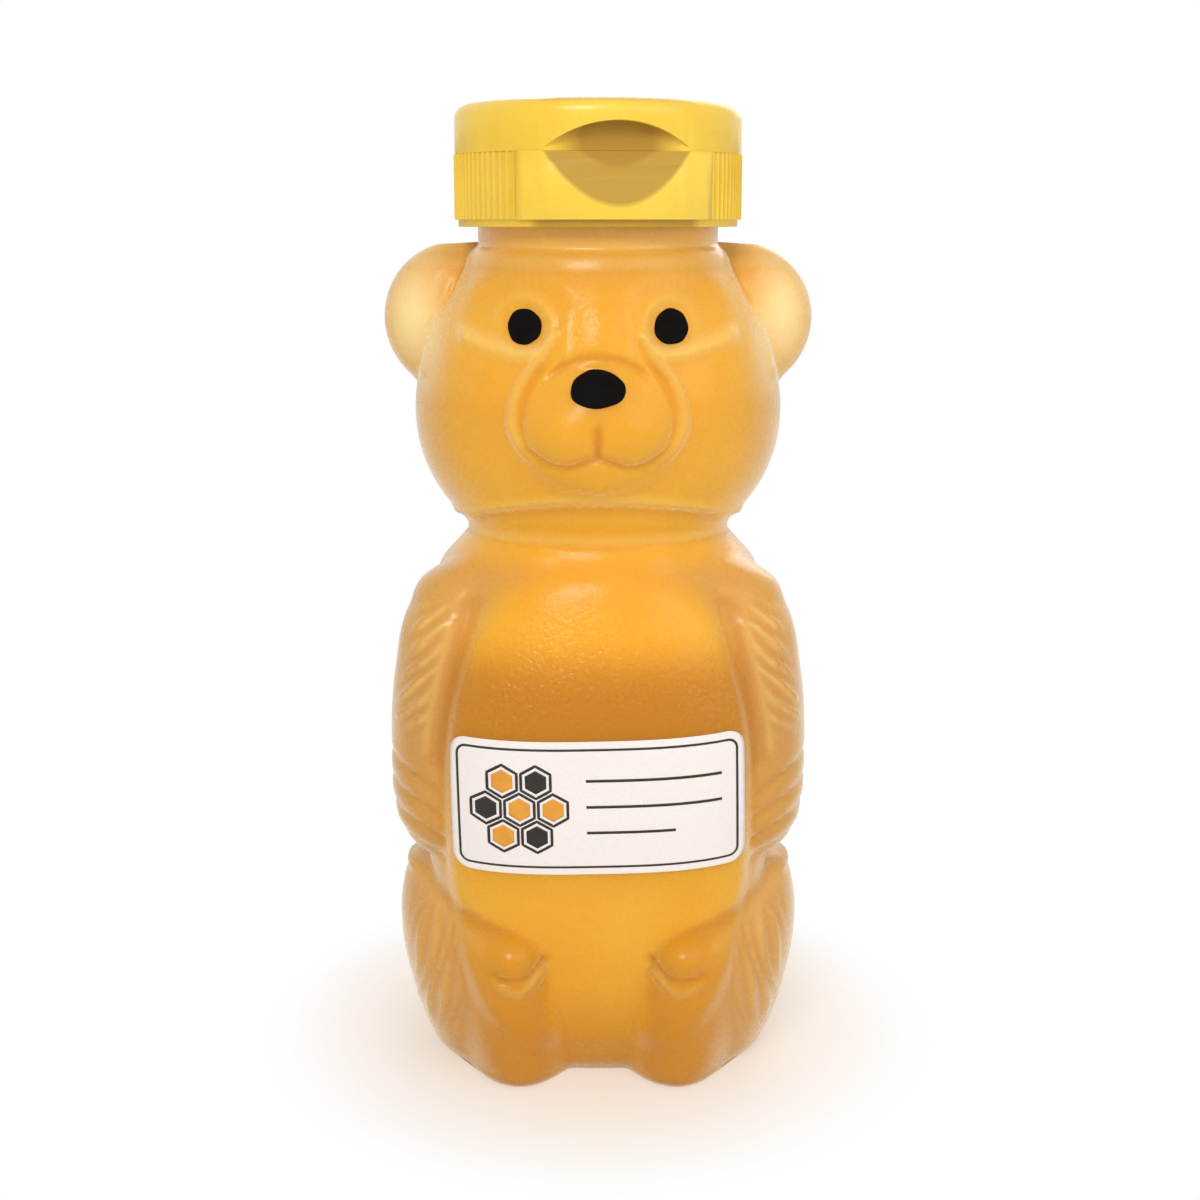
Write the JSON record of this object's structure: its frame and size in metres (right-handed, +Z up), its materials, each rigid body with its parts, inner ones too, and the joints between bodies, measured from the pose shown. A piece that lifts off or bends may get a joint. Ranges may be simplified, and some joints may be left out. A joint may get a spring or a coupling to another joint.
{
  "type": "honey bear bottle",
  "caption": "Upright bear-shaped squeeze bottle full of honey, with a belly label and a ribbed screw cap whose hinged lid flips open over a spout.",
  "frame": {"origin": "middle of the bottle at the level of its standing face, on the axis of the neck", "axes": "+Z up along the axis of the neck, the bear faces -Y, its left side is +X"},
  "size_m": [0.0638, 0.0545, 0.1425],
  "materials": {
    "bottle_plastic": "frosted translucent",
    "honey": "clear amber",
    "label_paper": "coated",
    "black_paint": "matt",
    "seal_foam": "foam",
    "cap_plastic": "semi-gloss"
  },
  "bodies": {
    "bottle": {"bottle": "bottle_plastic", "honey": "honey", "label": "label_paper", "left_eye": "black_paint", "right_eye": "black_paint", "nose": "black_paint"},
    "seal": {"seal_ring": "seal_foam"},
    "cap": {"cap_base": "cap_plastic", "hinge_web": "cap_plastic"},
    "lid": {"lid": "cap_plastic"}
  },
  "joints": [
    {"name": "cap_lift", "type": "slide", "parent": "bottle", "child": "seal", "axis": [0, 0, 1], "range_m": [0, 0.003]},
    {"name": "cap_turn", "type": "hinge", "parent": "seal", "child": "cap", "pos_m": [0, 0, 0.1305], "axis": [0, 0, 1], "range_deg": [0, 255]},
    {"name": "lid_flip", "type": "hinge", "parent": "cap", "child": "lid", "pos_m": [-0.00312, 0.02137, 0.1356], "axis": [-0.9895, -0.1444, 0], "range_deg": [0, 170]}
  ],
  "couplings": [
    {"joint": "cap_lift", "follows": "cap_turn", "m_per_rad": 0.00067322}
  ]
}
